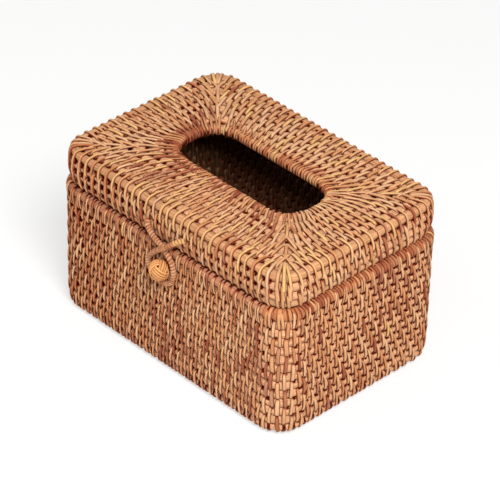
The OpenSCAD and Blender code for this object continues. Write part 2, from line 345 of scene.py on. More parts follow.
# Faces and map cells of tubes, closed around and closed or open along; on the map they lie side by side
def tubeFaces(count, rings, around, loop):
    steps = rings if loop else rings - 1
    p, c = np.meshgrid(np.arange(steps), np.arange(around), indexing="ij")
    q, d = (p + 1) % rings, (c + 1) % around
    one = np.stack([p * around + c, p * around + d, q * around + d, q * around + c], -1).reshape(-1, 4)
    faces = (one[None] + (np.arange(count) * rings * around)[:, None, None]).reshape(-1, 4)
    columns = math.ceil(math.sqrt(count * 4))
    lines = math.ceil(count / columns)
    index = np.arange(count)
    u = np.stack([c, c + 1, c + 1, c], -1).reshape(-1, 4) / around
    v = np.stack([p, p, p + 1, p + 1], -1).reshape(-1, 4) / steps
    cells = np.empty((count, len(one), 4, 2))
    places = ((index % columns, u, columns), (index // columns, v, lines))
    for axis, (gap, (place, share, number)) in enumerate(zip(mapGap, places)):
        cells[..., axis] = (place[:, None, None] + gap + (1 - 2 * gap) * share[None]) / number
    return faces, cells


# The section of a split strip: flat below and crowned above, as shares of half its width and of its thickness
stripSection = np.array([(1, 0.0), (0.8, 0.64), (0.3, 1.0), (-0.3, 1.0), (-0.8, 0.64), (-1, 0.0), (0, -0.06)])
grainSeeds, stripFloor = 50, 0.02  # how far the grain is shifted at most, and a strip's least height in mm


# Closed strips along paths, given as strips x rings x 3 with the normals that they face along
def ribbons(name, path, normals, width, thick, tint, dive, body, material=stripMat):
    count, rings = path.shape[:2]
    forward = unit(np.roll(path, -1, 1) - np.roll(path, 1, 1))
    across = unit(np.cross(normals, forward))
    above = unit(np.cross(forward, across))
    sides, heights = stripSection.T
    points = (path[:, :, None] + across[:, :, None] * (width[..., None] / 2 * sides)[..., None]
              + above[:, :, None] * (thick[..., None] * heights)[..., None])
    points[..., 2] = np.maximum(points[..., 2], stripFloor)
    around = len(sides)
    faces, cells = tubeFaces(count, rings, around, True)
    run = np.cumsum(np.linalg.norm(path - np.roll(path, 1, 1), axis=-1), axis=1)
    seed = rng.uniform(0, grainSeeds, count)
    fibre = np.stack(np.broadcast_arrays(sides[None, None], run[..., None], seed[:, None, None]), -1)
    tints = np.broadcast_to(tint[:, :, None], (count, rings, around, 4))
    dives = np.broadcast_to(dive[..., None], (count, rings, around))
    return meshOf(name, points.reshape(-1, 3), faces, valuesOf(fibre, tints, dives), cells, material,
                  body)


# Rings of a wrapped strip round its end canes, round a cane between and round one cane alone, and the shares
# of the way where it crosses in front and behind. It dives at its two ends, over diveWide degrees.
wrapRings = dict(end=11, between=5, alone=20, diveWide=36, front=(0.25, 0.5, 0.75), behind=(0.33, 0.67))


# A strip's closed path round one or more canes, in the plane across them.
# centres is strips x canes x 3, radii is canes; gives points, outward normals and how deep each point dives.
def wrapPath(centres, radii, tangent, bow):
    count, canes = centres.shape[:2]
    quarter = math.pi / 2
    if canes > 1:
        steps = centres[:, 1:] - centres[:, :-1]
        steps = unit(steps - (steps * tangent[:, None]).sum(-1, keepdims=True) * tangent[:, None])
        first = steps[:, 0]
    else:
        first = np.tile([0.0, 0.0, 1.0], (count, 1))
        steps = first[:, None]
    outward = unit(np.cross(tangent, first))
    angles = np.arctan2((steps * outward[:, None]).sum(-1), (steps * first[:, None]).sum(-1))
    inner = angles.mean(1)
    points, normals, dives = [], [], []

    def at(cane, angle):
        direction = np.cos(angle)[:, None] * first + np.sin(angle)[:, None] * outward
        return centres[:, cane] + radii[cane] * direction, direction

    def add(spot, direction, dive=0.0):
        points.append(spot)
        normals.append(direction)
        dives.append(np.zeros(count) + dive)

    def arc(cane, start, end, samples, diveAngle=None):
        for share in np.linspace(0, 1, samples):
            angle = start + (end - start) * share
            if diveAngle is None:
                add(*at(cane, angle))
            else:
                away = np.degrees(np.abs(angle - diveAngle))
                add(*at(cane, angle), np.exp(-(away / wrapRings["diveWide"]) ** 2))

    def crossing(cane, following, angle, otherAngle, shares, rise):
        startSpot, direction = at(cane, angle)
        endSpot, _ = at(following, otherAngle)
        for share in shares:
            lift = rise * math.sin(math.pi * share)
            add(startSpot + (endSpot - startSpot) * share + direction * lift, direction)

    if canes == 1:
        for share in np.arange(wrapRings["alone"]) / wrapRings["alone"]:
            add(*at(0, np.full(count, quarter * 3 - 2 * math.pi * share)))
    else:
        arc(0, inner + 3 * quarter, angles[:, 0] + quarter, wrapRings["end"], angles[:, 0] + 2 * quarter)
        for k in range(canes - 1):
            normal = angles[:, k] + quarter
            crossing(k, k + 1, normal, normal, wrapRings["front"], bow)
            if k < canes - 2:
                arc(k + 1, normal, angles[:, k + 1] + quarter, wrapRings["between"])
        last = angles[:, -1]
        arc(canes - 1, last + quarter, inner - quarter, wrapRings["end"], last)
        crossing(canes - 1, 0, inner - quarter, inner + 3 * quarter, wrapRings["behind"], 0)
    return np.stack(points, 1), np.stack(normals, 1), np.stack(dives, 1), first


halfBox = (110.0, 75.0)  # half the box's length and width in mm


# Values by side: front, right, back and left, melted together round the corners.
# A pair gives a side's start and end, going round from the front's left to its right, and so on.
def bySide(values, spot, out):
    x, y = spot[:, 0] / halfBox[0] / 2, spot[:, 1] / halfBox[1] / 2
    shares = np.stack([0.5 + x, 0.5 + y, 0.5 - x, 0.5 - y], 1).clip(0, 1)
    pairs = np.array([value if isinstance(value, tuple) else (value, value) for value in values], float)
    weight = np.stack([-out[:, 1], out[:, 0], out[:, 1], -out[:, 0]], 1).clip(0) ** 2
    return (weight * (pairs[:, 0] + (pairs[:, 1] - pairs[:, 0]) * shares)).sum(1) / weight.sum(1)


def jitter(count, amount):
    return rng.uniform(-1, 1, count) * amount


# One in the middle of a corner, nothing along the sides
def cornering(out):
    return 4 * (out ** 2).prod(1)


# Where red strips gather: middle and reach in mm, and how much likelier red is there
redPatches = [((14, -75, 14), 18, 0.6), ((75, -75, 30), 14, 0.4), ((92, -72, 52), 12, 0.7),
              ((-40, -34, 128), 20, 0.5), ((62, -36, 128), 14, 0.6), ((110, 30, 88), 30, 0.4)]
# Red strips also come in waves over the box, in mm, and in runs; reds, plains and golds are shares of a tone
tintShares = dict(waves=1.4, long=(23, 17, 1.3), high=(19, 29, 0.4), runRed=0.4, reds=(0.45, 0.95),
                  plains=(0, 0.15), golds=(0.45, 0.9), plainGold=0.05, goldBelow=0.3)


def tintOf(middles, out, look):
    count, shares = len(middles), tintShares
    run = np.cumsum(rng.random(count) < 1 / look["run"])
    runPick, runTone = rng.random(count)[run], rng.uniform(-1, 1, count)[run]
    # Part of this side-by-side tone is painted light and shade; the rest is the cane's own tone
    warm = bySide(look["tone"], middles, out) + jitter(count, look["toneSpread"])
    warm = (warm + runTone * look["runSpread"]).clip(0, 1)[:, None]
    x, y, z = middles.T
    (longX, longY, longStart), (highZ, highY, highStart) = shares["long"], shares["high"]
    gather = 1 + shares["waves"] * (np.sin(x / longX + y / longY + longStart)
                                    * np.sin((z + x / 2) / highZ - y / highY + highStart))
    likely = bySide(look["red"], middles, out) * gather
    for middle, reach, extra in redPatches:
        likely = likely + extra * np.exp(-((middles - np.array(middle)) ** 2).sum(1) / reach ** 2)
    isRed = (rng.random(count) < likely) | (runPick < likely * shares["runRed"])
    reds = np.where(isRed, rng.uniform(*shares["reds"], count), rng.uniform(*shares["plains"], count))
    isGold = (rng.random(count) < bySide(look["gold"], middles, out)) & (reds < shares["goldBelow"])
    golds = np.where(isGold, rng.uniform(*shares["golds"], count), shares["plainGold"])
    base = np.where(warm < 0.5, tones["deep"] + (tones["tan"] - tones["deep"]) * warm * 2,
                    tones["tan"] + (tones["pale"] - tones["tan"]) * (warm * 2 - 1))
    base = base + (tones["gold"] - base) * golds[:, None]
    return base + (tones["red"] - base) * reds[:, None]


insideLook = dict(start=0.3, dark=0.75)


# Painted shade: cane is darker towards the inside of the box, where less light reaches;
# within is one where it faces straight inward
def paintedInsideShade(within):
    return 1 - insideLook["dark"] * ((within - insideLook["start"]) / (1 - insideLook["start"])).clip(0, 1)


# Strips round one or more rows, centred on middles. Where a strip dives, it leaves a small hole at its side;
# holes keeps these spots, where the cane below gets painted shade.
holes = {}


def strips(name, rows, middles, look, body, lean=0.0, room=None):
    count = len(middles)
    centres = np.stack([hoops[row].nearest(middles)[0] for row in rows], 1)
    _, out = hoops[rows[0]].nearest(middles)
    tangent = np.column_stack([-out[:, 1], out[:, 0], np.zeros(count)])
    radii = [hoops[row].cane + look["lift"] for row in rows]
    path, normals, dives, first = wrapPath(centres, radii, tangent, look["bow"])
    reach = ((path - centres[:, :1]) * first[:, None]).sum(-1)
    middle = ((centres[:, -1] - centres[:, 0]) * first).sum(-1, keepdims=True) / 2
    slant = (lean + bySide(look["lean"], middles, out) + jitter(count, look["leanSpread"])).clip(-1, 1)
    curve = bySide(look["curve"], middles, out) + jitter(count, look["bend"])
    aside = (slant[:, None] * (reach - middle)
             + curve[:, None] * (1 - ((reach - middle) / look["curveReach"]) ** 2))
    path = path + tangent[:, None] * aside[..., None]
    width = bySide(look["width"], middles, out) * (1 + jitter(count, look["widthSpread"]))
    width = width * (1 + look["cornerWidth"] * cornering(out))
    if room is not None:
        width = np.minimum(width, room * look["roomShare"])
    for row, end in ((rows[0], np.argmin(reach, 1)), (rows[-1], np.argmax(reach, 1))):
        beside = tangent * (width[:, None] / 2 + look["holeAside"])
        holes.setdefault(row, []).append(path[np.arange(count), end] + beside)
    width = width[:, None] * (1 - (1 - look["nip"]) * dives)
    thick = look["thick"] * (1 + jitter(count, look["thickSpread"]))[:, None] * (1 - look["thin"] * dives)
    facing = np.array([0.0, 0.0, 1.0]) if rows == ["slot_rim"] else np.cross(tangent, first)[:, None]
    # Painted shade darkens the strip where it faces into the box
    within = -(normals * facing).sum(-1)
    tint = tintOf(middles, out, look)[:, None] * paintedInsideShade(within)[..., None]
    ribbons(name, path, normals, width, thick, tint, dives, body)


# The round cane of a row: it wobbles a little and is pressed flat where it touches its neighbours. It gets
# painted shade in the groove between them, in the holes and where it faces into the box.
# Touch and groove are cosines to the neighbour's way.
coreShape = dict(ringStep=0.9, around=24, wobble=0.02, waves=(11, 17, 29), waveStart=6.3, toneWobble=0.06,
                 touch=0.62, squeeze=1.25, pressed=0.15, groove=0.86, holeDark=1.9, holeSoft=0.25,
                 holeFrom=((0.15, 0.45), 0.5, 0.4, 0.4), holeReach=((1.8, 1.0), 0.85, 1.1, 1.1),
                 cornerHole=0.7, sides=((0.72, 1.18), 1.07, 1.0, 0.95), mapFolds=6, foldGap=0.02,
                 # The rim row's darker tone is partly painted shade of the lid above it
                 tone=dict(rim_row=tones["rim"], edge_row=tones["edgeCane"]))
lidShape = dict(coreShape, holeFrom=((0.2, 0.45), 0.55, 0.45, 0.45), holeReach=((1.5, 0.9), 0.8, 0.9, 1.0),
                sides=((0.86, 1.08), 1.08, 1.05, 1.0))
topShape = dict(coreShape, holeFrom=(0.55, 0.6, 0.55, 0.5), holeReach=(0.9, 0.8, 0.85, 0.9),
                sides=(1.1, 1.08, 1.08, 1.08))


def core(node, before, after, body, look):
    hoop = hoops[node]
    rings, around = int(hoop.length / look["ringStep"]), look["around"]
    along = np.arange(rings) / rings * hoop.length
    centre, out = hoop.spot(along)
    turn = np.arange(around) / around * 2 * math.pi
    wobble = sum(np.sin(along / hoop.length * 2 * math.pi * k + rng.uniform(0, look["waveStart"]))
                 for k in look["waves"]) / len(look["waves"])
    sideways = np.column_stack([out, np.zeros(rings)])
    tangent = np.column_stack([-out[:, 1], out[:, 0], np.zeros(rings)])
    direction = (np.cos(turn)[None, :, None] * sideways[:, None]
                 + np.sin(turn)[None, :, None] * np.array([0.0, 0.0, 1.0]))
    radius = np.repeat(hoop.cane * (1 + look["wobble"] * wobble)[:, None], around, 1)
    paintedShade, outward = np.zeros((rings, around)), np.zeros((rings, 3))
    for other, way in ((before, -1), (after, 1)):
        if other is None:
            continue
        reach = hoops[other].nearest(centre)[0] - centre
        facing = unit(reach)
        outward = outward + np.cross(tangent, facing) * way
        near = (direction * facing[:, None]).sum(-1)
        grown = look["pressed"] + look["squeeze"] * (np.linalg.norm(reach, axis=1)[:, None] / 2 - hoop.cane)
        radius = radius + grown.clip(0) * ((near - look["touch"]) / (1 - look["touch"])).clip(0, 1)
        groove = ((near - look["groove"]) / (1 - look["groove"])).clip(0, 1)
        spots = np.concatenate(holes.get(node, []) + holes.get(other, []))
        away = np.linalg.norm((centre + reach / 2)[:, None] - spots[None], axis=-1).min(1)
        holeReach = bySide(look["holeReach"], centre, out) * (1 - look["cornerHole"] * cornering(out))
        hole = (look["holeDark"] * np.exp(-(away / holeReach) ** 2)).clip(0, 1)[:, None]
        holeFrom = bySide(look["holeFrom"], centre, out)[:, None]
        hole = hole * ((near - holeFrom) / look["holeSoft"]).clip(0, 1)
        paintedShade = np.maximum(paintedShade, np.maximum(groove, hole))
    points = centre[:, None] + radius[..., None] * direction
    points[..., 2] = np.maximum(points[..., 2], 0.0)
    p, c = np.meshgrid(np.arange(rings), np.arange(around), indexing="ij")
    q, d = (p + 1) % rings, (c + 1) % around
    faces = np.stack([p * around + c, q * around + c, q * around + d, p * around + d], -1).reshape(-1, 4)
    folds, foldGap = look["mapFolds"], look["foldGap"]  # a long cane lies on the map as a few strips
    v = np.stack([p, p + 1, p + 1, p], -1).reshape(-1, 4) / rings * folds
    u = np.stack([c, c, c + 1, c + 1], -1).reshape(-1, 4) / around
    fold = np.floor((p.reshape(-1) + 0.5) / rings * folds)[:, None]
    cells = np.stack([(fold + foldGap + (1 - 2 * foldGap) * u) / folds,
                      mapGap[1] + (1 - 2 * mapGap[1]) * (v - fold).clip(0, 1)], -1)
    seed = rng.uniform(0, grainSeeds)
    fibre = np.stack(np.broadcast_arrays((turn * hoop.cane)[None, :], along[:, None], seed), -1)
    within = paintedInsideShade(-(direction * unit(outward)[:, None]).sum(-1))
    # Painted light and shade on the tone side by side: on the wall and the lid's side darker at the front's
    # left, lighter towards its right and on the right side
    tone = look["tone"].get(node, tones["pith"]) * bySide(look["sides"], centre, out)[:, None, None]
    tint = tone * (1 + look["toneWobble"] * wobble[:, None, None]) * within[..., None]
    piece = meshOf(node + ".cane", points.reshape(-1, 3), faces, valuesOf(fibre, tint, paintedShade), cells, coreMat,
                   body)
    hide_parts(node)


# Places along a row, spaced by the look's pitch on each side; each step shifts them by the look's shift
def spacedSpots(hoop, look, step, count=None, samples=2401):
    fine = np.linspace(0, hoop.length, samples)
    spot, out = hoop.spot(np.minimum(fine, hoop.length - 1e-6))
    density = 1 / bySide(look["pitch"], spot, out)
    turns = np.concatenate([[0], np.cumsum((density[1:] + density[:-1]) / 2 * np.diff(fine))])
    count = count or round(turns[-1])
    turns = turns * count / turns[-1] - bySide(look["shift"], spot, out) * step
    wanted = np.arange(math.ceil(turns[0]), math.ceil(turns[0]) + count)
    return np.interp(wanted, turns, fine) + jitter(count, look["uneven"])


# What the maker changes on the strips, side by side: sizes in mm, tone from 0 (deep) to 1 (pale), and the
# shares of red and golden strips. The tone side by side is also painted light and shade: on the wall's and
# the lid's fronts it goes from darker at the left to lighter at the right.
wallLook = dict(pitch=((6.5, 7.5), 7.85, 7.2, 7.0), shift=((-0.42, -0.5), (-0.5, -0.44), -0.47, -0.45),
                uneven=0.5, width=((2.1, 2.3), 2.4, 2.4, 2.3), widthSpread=0.2, cornerWidth=0.35,
                roomShare=0.72, lean=((0.1, 0.0), (0.0, -0.2), 0.0, 0.05), leanSpread=0.11,
                curve=((-0.5, -0.3), 0.0, 0.0, 0.0), bend=0.4, curveReach=8,
                tone=((0.4, 0.72), 0.58, 0.5, 0.4), toneSpread=0.42, run=18, runSpread=0.15,
                red=((0.14, 0.1), 0.11, 0.07, 0.07), gold=(0.02, 0.02, 0.03, 0.03),
                lift=0.04, thick=1.0, thickSpread=0.1, thin=0.5, nip=0.7, bow=0.25, holeAside=0.2)
floorLook = dict(wallLook, pitch=(7, 7, 7, 7), shift=(0.5, 0.5, 0.5, 0.5), lean=(0.05, 0.05, 0.05, 0.05))
mouthLook = dict(wallLook, width=(1.8, 1.8, 1.8, 1.8), bend=0.1, thick=0.8, apart=1.0)
rimLook = dict(wallLook, pitch=(3.0, 2.5, 2.7, 2.8), shift=(0, 0, 0, 0), width=(2.8, 2.4, 2.5, 2.6),
               lean=(0, -0.2, 0, 0), tone=((0.4, 0.1), (0.1, 0.3), 0.4, 0.5),
               red=((0.3, 0.9), (0.9, 0.2), 0.3, 0.25), run=4, gold=(0.1, 0.04, 0.1, 0.2), nip=0.9,
               leanSpread=0.06, uneven=0.2, thick=0.7, bend=0.1, bare=(-96, 92), bareFacing=0.9)
lidLook = dict(wallLook, pitch=(6.5, 6.4, 6.6, 6.9), shift=(-0.5, -0.66, -0.5, -0.5),
               width=(2.6, 2.7, 2.7, 2.7), cornerWidth=0.12, lean=(0.0, -0.25, 0.0, 0.0),
               tone=((0.32, 0.66), 0.6, 0.5, 0.45), red=(0.04, 0.08, 0.08, 0.1))
edgeLook = dict(lidLook, width=(2.4, 2.2, 2.3, 2.3), gold=((0.4, 0.7), (0.65, 0.4), 0.3, 0.4), bow=0.4,
                tone=((0.5, 0.7), 0.7, 0.6, 0.6), red=(0.01, 0.03, 0.06, 0.1), thick=1.15, bend=0.15,
                curve=(-0.3, 0, 0, 0), lean=(0, -0.1, 0, 0))
topLook = dict(lidLook, width=(2.45, 2.8, 3.2, 2.9), lean=(0.08, 0, -0.08, 0), tone=(0.7, 0.74, 0.72, 0.7),
               red=(0.03, 0.05, 0.02, 0.06), gold=(0.28, 0.12, 0.15, 0.1), curve=(0, 0, 0, 0), thick=0.9,
               leanSpread=0.04, bend=0.15, toneSpread=0.3, widthSpread=0.12, cornerWidth=0.0, rowStep=7.1,
               longPitch=(6.6, 6.6, 6.4, 5.9, 5.2), shortPitch=(6.6, 6.1, 5.4, 4.5, 3.3),
               fan=(0.3, 0.36, 0.44, 0.6, 0.85))
slotLook = dict(topLook, width=(2.0, 2.1, 2.0, 1.9), tone=((0.3, 0.6), 0.95, 0.45, 0.3), nip=0.8,
                red=((0.4, 0.1), 0.03, 0.35, 0.45), run=6, gold=(0.1, 0.3, 0.1, 0.1))
wrapLook = dict(slotLook, pitch=((3.3, 5.2), 3.6, 2.6, 3.0), shift=(0, 0, 0, 0), width=(1.9, 1.7, 1.8, 1.7),
                lean=(0, 0, 0, 0), lift=0.12, thick=0.75, thin=0.1, nip=1.0, uneven=0.4,
                tone=(0.35, 0.3, 0.3, 0.2), red=((0.7, 0.3), 0.5, 0.5, 0.6))

# The base, from its rod up to the rim; the wall's rows all have as many strips, and the rim's go in pairs
wallCount = len(spacedSpots(hoops["wall_row_6"], wallLook, 0))
for k, (lower, upper) in enumerate(itertools.pairwise(baseOrder)):
    look, slot = wallLook, "bound_cane"
    if upper in floorRows:
        look, along = floorLook, spacedSpots(hoops[upper], floorLook, k)
    else:
        along = spacedSpots(hoops[upper], wallLook, k, wallCount)
    if upper == "rim_row":
        look, slot = mouthLook, "rim_cane"
        along = np.concatenate([along - look["apart"], along + look["apart"]])
    strips(upper + ".binding", [lower, upper], hoops[upper].spot(along)[0], look, "base")

# The rim row is close-wrapped but for the front, where its cane shows
middles, out = hoops["rim_row"].spot(spacedSpots(hoops["rim_row"], rimLook, 0))
left, right = rimLook["bare"]
bare = (-out[:, 1] > rimLook["bareFacing"]) & (middles[:, 0] > left) & (middles[:, 0] < right)
strips("rim_row.wraps", ["rim_row"], middles[~bare], rimLook, "base")

# At a lid's mitre a strip lies on it, or one on either side; the gaps are the room there, in pitches
mitreLook = dict(crowd=0.042, crowdPower=8, gap=0.7, rowGaps=(0.32, 0.75))


# Places between two rows of the lid, side by side from mitre to mitre, drawn towards the mitres by crowd
def sideSpots(outer, inner, look, pitch, parity, drift, crowd, gap, onMitre):
    found = []
    for side in range(4):
        ends = [hoops[row].mitres()[side:side + 2] for row in (outer, inner)]
        half = sum(end[1] - end[0] for end in ends) / 4
        steps = round(half / pitch[side] - parity / 2 - gap)
        places = (np.arange(-steps - parity, steps + 1) + parity / 2) / (steps + parity / 2 + gap)
        places = places + drift[side] / half * (1 - places ** 2) + jitter(len(places), look["uneven"] / half)
        places = places * (1 + crowd * (1 - places ** mitreLook["crowdPower"]))
        if onMitre:
            places = np.append(places, 1.0)
        spots = [hoops[row].spot((end[0] + end[1]) / 2 + places * (end[1] - end[0]) / 2)
                 for row, end in zip((outer, inner), ends)]
        inward = np.array([(0, 1), (-1, 0), (0, -1), (1, 0)][side], float)
        found.append([(spots[0][0] + spots[1][0]) / 2, spots[0][1], places,
                      np.tile(inward, (len(places), 1))])
    return [np.concatenate(part) for part in zip(*found)]


# How far a strip drifts along its rows when it runs inward and towards the middle of its side
def fanLean(out, places, inward, fan):
    aim = inward + np.column_stack([inward[:, 1], -inward[:, 0]]) * -fan * places[:, None]
    tangent = np.column_stack([-out[:, 1], out[:, 0]])
    lean = (aim * tangent).sum(1) / -(aim * out).sum(1)
    return np.where(places == 1.0, 0.0, lean)


# The lid's side; each strip of the edge wraps three rows
crowd, gap = mitreLook["crowd"], mitreLook["gap"]
for k, (lower, upper) in enumerate(itertools.pairwise(sideRows[:3])):
    drift = [pitch * (shift + 0.5) * (k - 2) for pitch, shift in zip(lidLook["pitch"], lidLook["shift"])]
    middles = sideSpots(lower, upper, lidLook, lidLook["pitch"], k % 2, drift, crowd, gap, True)[0]
    strips(upper + ".binding", [lower, upper], middles, lidLook, "lid")
middles = sideSpots("edge_row", "edge_row", lidLook, lidLook["pitch"], 0, (0, 0, 0, 0), crowd, gap, True)[0]
strips("edge_row.binding", ["lid_row_3", "edge_row", "top_row_1"], middles, edgeLook, "lid")

# The lid's top, from the edge in to the slot, whose rim is close-wrapped
for k, (outer, inner) in enumerate(itertools.pairwise(topRows)):
    pitches = (topLook["longPitch"][k], topLook["shortPitch"][k]) * 2
    drift = [lean * topLook["rowStep"] * (k + 1) for lean in topLook["lean"]]
    middles, out, places, inward = sideSpots(outer, inner, topLook, pitches, (k + 1) % 2, drift,
                                             crowd / (k + 1), mitreLook["rowGaps"][k % 2], k % 2 == 1)
    room = np.linalg.norm(middles - np.roll(middles, 1, 0), axis=1)
    look, slot = (slotLook, "dark_cane") if inner == "slot_rim" else (topLook, "bound_cane")
    strips(inner + ".binding", [outer, inner], middles, look, "lid",
           fanLean(out, places, inward, look["fan"][k]), room)
along = spacedSpots(hoops["slot_rim"], wrapLook, 0)
strips("slot_rim.wraps", ["slot_rim"], hoops["slot_rim"].spot(along)[0], wrapLook, "lid")
print("strips made")

for body, order in (("base", baseOrder), ("lid", lidOrder)):
    for before, node, after in zip([None] + order, order, order[1:] + [None]):
        if node != "floor_rod":
            look = coreShape if body == "base" else lidShape if node in sideRows else topShape
            core(node, before, after, body, look)
print("canes made")

cordSeed = 3.0


# A tube along a route; across is a direction that the route never runs along, and paintedShade
# is the strength of its painted shade
def tube(name, route, radii, across, body, tint, paintedShade=0.0, material=cordMat):
    ahead = unit(np.gradient(route, axis=0))
    side = unit(np.cross(ahead, np.array(across, float)))
    up = np.cross(side, ahead)
    around = radii.shape[1]
    turn = np.arange(around) / around * 2 * math.pi
    points = route[:, None] + radii[..., None] * (np.cos(turn)[None, :, None] * side[:, None]
                                                  + np.sin(turn)[None, :, None] * up[:, None])
    points[..., 2] = np.maximum(points[..., 2], 0)
    faces, cells = tubeFaces(1, len(route), around, False)
    run = np.concatenate([[0], np.cumsum(np.linalg.norm(np.diff(route, axis=0), axis=1))])
    fibre = np.stack(np.broadcast_arrays((turn * radii.max())[None], run[:, None], cordSeed), -1)
    tints = np.broadcast_to(np.broadcast_to(tint, (len(route), 4))[:, None], radii.shape + (4,))
    paintedShades = np.broadcast_to(paintedShade, radii.shape)
    return meshOf(name, points.reshape(-1, 3), faces, valuesOf(fibre, tints, paintedShades), cells, material,
                  body)


rodRings = dict(end=6, middle=28, around=14)


# A straight cane with round ends
def rod(name, start, end, radius, across, body, tint, node):
    start, end = np.array(start, float), np.array(end, float)
    length = np.linalg.norm(end - start)
    lift = np.linspace(0, math.pi / 2, rodRings["end"])
    straight = np.linspace(radius, length - radius, rodRings["middle"] + 2)[1:-1]
    run = np.concatenate([radius * (1 - np.cos(lift)), straight, length - radius + radius * np.sin(lift)])
    thickness = np.concatenate([radius * np.sin(lift), np.full(len(straight), radius),
                                radius * np.cos(lift)]).clip(0.01)
    route = start + (end - start) / length * run[:, None]
    piece = tube(name, route, np.repeat(thickness[:, None], rodRings["around"], 1), across, body, tint,
                 material=coreMat)
    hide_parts(node)


# The floor's rod, a little thicker than the rows' canes, so that it meets the first row
rodHoop, rodHalf = hoops["floor_rod"], halfRow + coreShape["pressed"]
rodEnd = rodHoop.runX + rodHalf
rod("floor_rod.cane", (-rodEnd, 0, rodHoop.height), (rodEnd, 0, rodHoop.height), rodHalf, (0, 0, 1), "base",
    tones["pith"], "floor_rod")

# The woven ball: three wide bands of strands round a cane heart, each over one band and under the other.
# The strands get painted shade at their edges and where they run under a band, and the heart is coloured
# with the dark tone of painted shade.
ballLook = dict(middle=(1.5, -82.5, 85.83), tall=1.12, heart=5.5, heartRings=17, heartAround=24, band=6.1,
                weave=0.36, strands=4, step=1.62, rings=120, width=1.75, thick=0.6, tilt=(28, -20, 34),
                tone=linear(226, 160, 100), spread=0.2, sink=0.6)


def ballMesh(look):
    turned = np.eye(3)
    for k, degrees in enumerate(look["tilt"]):
        turned = np.array(Matrix.Rotation(math.radians(degrees), 3, "XYZ"[k])) @ turned
    turn = np.arange(look["rings"]) / look["rings"] * 2 * math.pi
    path, normals, rise = [], [], []
    for k in range(3):
        axis, first, second = turned[k], turned[(k + 1) % 3], turned[(k + 2) % 3]
        ring = np.cos(turn)[:, None] * first + np.sin(turn)[:, None] * second
        over = np.cos(2 * turn)
        for strand in range(look["strands"]):
            slope = (strand - (look["strands"] - 1) / 2) * look["step"] / look["band"]
            direction = unit(ring * math.cos(slope) + axis * math.sin(slope))
            radius = look["band"] + look["weave"] * over
            path.append(np.array(look["middle"]) + direction * radius[:, None] * (1, 1, look["tall"]))
            normals.append(direction)
            rise.append(over)
    path, normals, rise = (np.array(part) for part in (path, normals, rise))
    width, thick = (np.full(rise.shape, look[key]) for key in ("width", "thick"))
    tint = (look["tone"] * (1 + jitter(len(path), look["spread"]))[:, None])[:, None]
    # Painted shade where a strand runs under the other band
    sunk = (-rise).clip(0, 1) ** 2 * look["sink"]
    ribbons("closure_ball.bands", path, normals, width, thick, tint, sunk, "base", ballMat)
    rings = look["heartRings"]
    lift = np.linspace(0, math.pi, rings)
    x, y, z = look["middle"]
    route = np.column_stack([np.full(rings, x), y - look["heart"] * np.cos(lift), np.full(rings, z)])
    radii = np.repeat((look["heart"] * np.sin(lift)).clip(0.01)[:, None], look["heartAround"], 1)
    piece = tube("closure_ball.heart", route, radii, (0, 0, 1), "base", tones["dark"],
                 material=coreMat)
    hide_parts("closure_ball")


ballMesh(ballLook)

# The loop: a cord wound with a strip, from its left root round under the ball to its right root.
# Each place is along X, in front of the wall rows' middles, and above the ball's middle.
loopLook = dict(wallY=72.1, ballZ=85.828, radius=1.95, winding=2.2, groove=0.22, ridge=0.5, paintedShade=0.7,
                steps=34, around=16, endRound=0.6, goldEnd=9.0, tones=(0.15, 0.75))
loopPlaces = [
    (-16.5, 3.2, 28.6), (-16.2, 4.8, 26.2), (-14, 5, 22.2), (-10, 5.1, 19), (-5, 5.3, 16.6),
    (0.2, 5.5, 15), (4.5, 6.3, 12.7), (8.3, 6.7, 9.7), (10.5, 6.5, 5.2), (11, 6.3, -0.8),
    (9.5, 6.1, -6.8), (5.5, 5.9, -10.8), (-0.5, 5.9, -12.3), (-6.5, 5.9, -10.8), (-11.5, 6.1, -6.8),
    (-13.5, 6.5, -0.8), (-10, 7.3, 5.2), (-3, 8.8, 12.7), (3.5, 9.5, 17.7), (8.5, 8.9, 22),
    (12.5, 7.1, 25.5), (15.8, 5.1, 27.8), (18.6, 3.2, 28.6)]


def loopMesh(look, places):
    spots = np.array([(x, -look["wallY"] - y, look["ballZ"] + z) for x, y, z in places])
    spots = np.vstack([2 * spots[0] - spots[1], spots, 2 * spots[-1] - spots[-2]])
    share = (np.arange(look["steps"]) / look["steps"])[:, None]
    route = []
    for a, b, c, d in zip(spots, spots[1:], spots[2:], spots[3:]):  # a smooth curve through every place
        route.append((2 * b + (c - a) * share + (2 * a - 5 * b + 4 * c - d) * share ** 2
                      + (3 * b - 3 * c + d - a) * share ** 3) / 2)
    route = np.vstack(route + [spots[-2:-1]])
    run = np.concatenate([[0], np.cumsum(np.linalg.norm(np.diff(route, axis=0), axis=1))])
    turn = np.arange(look["around"]) / look["around"]
    ridge = np.abs(np.sin(math.pi * (run[:, None] / look["winding"] + turn[None]))) ** look["ridge"]
    radii = look["radius"] * (1 - look["groove"] * (1 - ridge))
    ends = np.minimum(run, run[-1] - run)[:, None]
    radii = radii * np.sqrt((ends / look["endRound"]).clip(0.001, 1))
    golden = ((run - run[-1] + look["goldEnd"]) > 0)[:, None]
    winding = np.floor(run / look["winding"]).astype(int)
    tone = rng.uniform(*look["tones"], winding[-1] + 1)[winding][:, None]
    plain = tones["deep"] + (tones["pale"] - tones["deep"]) * tone
    tint = np.where(golden, (tones["gold"] + tones["tan"]) / 2, plain)
    # The cord gets painted shade in the grooves between its windings
    piece = tube("closure_loop.cord", route, radii, (0, 1, 0), "loop", tint,
                 (1 - ridge) ** look["paintedShade"])
    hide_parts("closure_loop")


loopMesh(loopLook, loopPlaces)

# Hinges: strips wound round a short rod, the base's round the rim row too and the lid's round its lowest row
hingeLook = dict(middles=(-55.0, 55.0), y=78.5, z=100.917, rod=1.5, rodHalf=9.1, rodLift=0.08, eyeStep=5.4,
                 strips=3, step=1.65, width=1.6, thick=0.5, lift=0.3, spread=0.1,
                 inset=dict(rim_row=6.0, lid_row_1=9.0))


